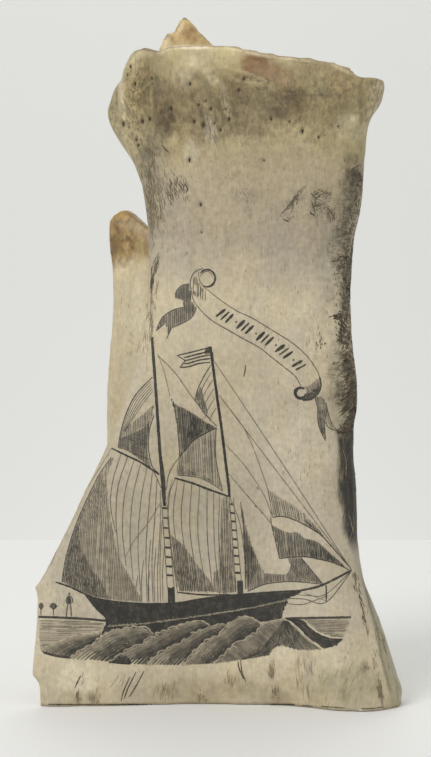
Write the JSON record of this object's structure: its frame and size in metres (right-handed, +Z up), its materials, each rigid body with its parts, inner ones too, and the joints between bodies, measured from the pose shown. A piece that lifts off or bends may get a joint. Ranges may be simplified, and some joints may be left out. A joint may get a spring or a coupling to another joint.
{
  "type": "scrimshaw whale bone",
  "caption": "Upright piece of bone with a hollow socket at the top, a flat sawn foot and a ship picture inked on its smooth front.",
  "frame": {"origin": "in the sawn foot, under the middle of the bone's box, which is the surface that it stands on", "axes": "+Z up along the bone, from the foot to the socket; -Y is the smooth face with the picture; +X is its right side as seen from there"},
  "size_m": [0.121, 0.0524, 0.2297],
  "materials": {
    "bone": "polished old bone, warm beige-grey with brown stains and dark pits, and a picture scratched and filled with grey-black ink"
  },
  "bodies": {
    "root": {"whale_bone": "bone"}
  },
  "joints": []
}
